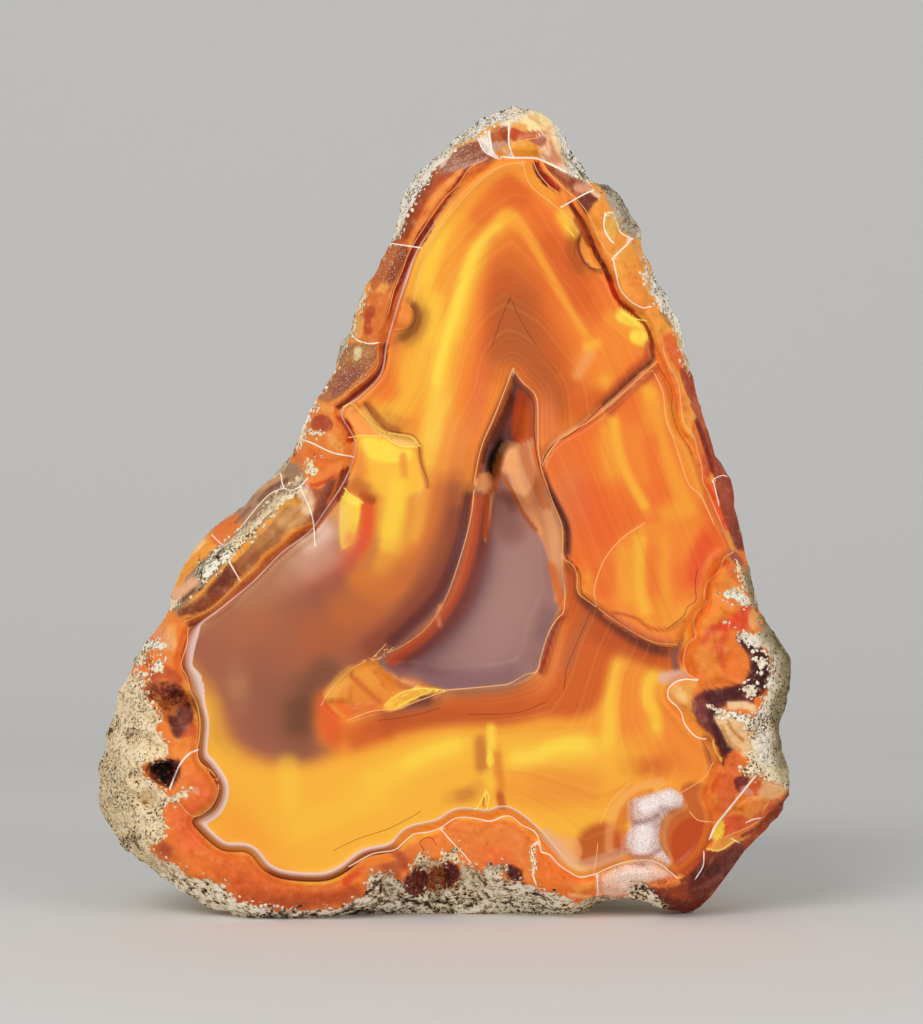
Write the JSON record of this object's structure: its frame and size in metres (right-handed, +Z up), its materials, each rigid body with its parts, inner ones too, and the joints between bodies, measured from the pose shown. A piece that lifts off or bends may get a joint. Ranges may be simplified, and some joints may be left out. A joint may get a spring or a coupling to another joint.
{
  "type": "agate",
  "caption": "Broken agate nodule standing on a small flat, with a translucent banded face, a central hollow, a scalloped wall and a rough pale rind.",
  "frame": {"origin": "middle of the bounding box seen from above, at the level of the flat that the stone stands on", "axes": "+Z up from the flat to the tip, -Y out of the open banded face, +X to the right as one looks at the face"},
  "size_m": [0.0952, 0.0476, 0.1104],
  "materials": {
    "agate_stone": "translucent amber and orange banded chalcedony with a glossy broken face, a chalky cream rind and a sugary white druse"
  },
  "bodies": {
    "root": {"agate": "agate_stone"}
  },
  "joints": []
}
